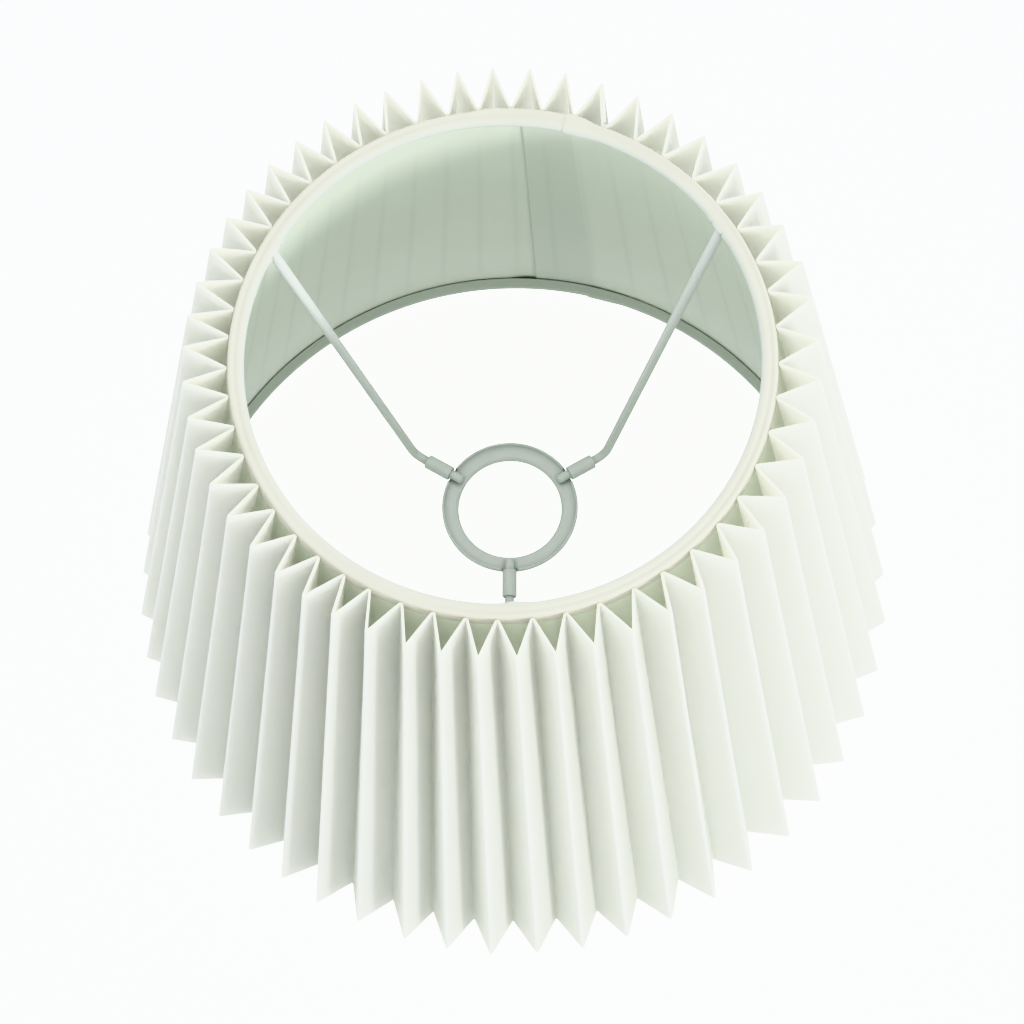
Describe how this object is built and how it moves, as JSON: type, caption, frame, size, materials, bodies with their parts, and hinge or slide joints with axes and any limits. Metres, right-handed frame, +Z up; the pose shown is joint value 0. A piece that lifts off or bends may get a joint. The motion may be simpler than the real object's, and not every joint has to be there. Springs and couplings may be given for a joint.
{
  "type": "lamp shade",
  "caption": "Pleated cone lamp shade: a knife-pleated white cover on a stiff liner, taped over wire rims, with a deep-set carrier ring on three arms.",
  "frame": {"origin": "middle of the plane that the wide rim stands on", "axes": "+Z up along the shade's axis, towards the narrow rim; the front arm is towards -Y and the liner's lap is near +Y"},
  "size_m": [0.3311, 0.3319, 0.2649],
  "materials": {
    "cover_cloth": "plain-woven off-white cloth on a stiff backing, pressed into sharp pleats",
    "liner_sheet": "smooth white laminate sheet, satin",
    "binding_tape": "off-white cotton binding tape folded over the rim",
    "frame_wire": "steel wire, white coated",
    "white_coat": "white powder coat on steel, satin"
  },
  "bodies": {
    "root": {"pleated_cover": "cover_cloth", "liner": "liner_sheet", "top_trim": "binding_tape", "bottom_trim": "binding_tape", "top_ring": "frame_wire", "bottom_ring": "frame_wire", "carrier_ring": "white_coat", "arm_right": "white_coat", "arm_left": "white_coat", "arm_front": "white_coat", "socket_right": "white_coat", "socket_left": "white_coat", "socket_front": "white_coat"}
  },
  "joints": []
}
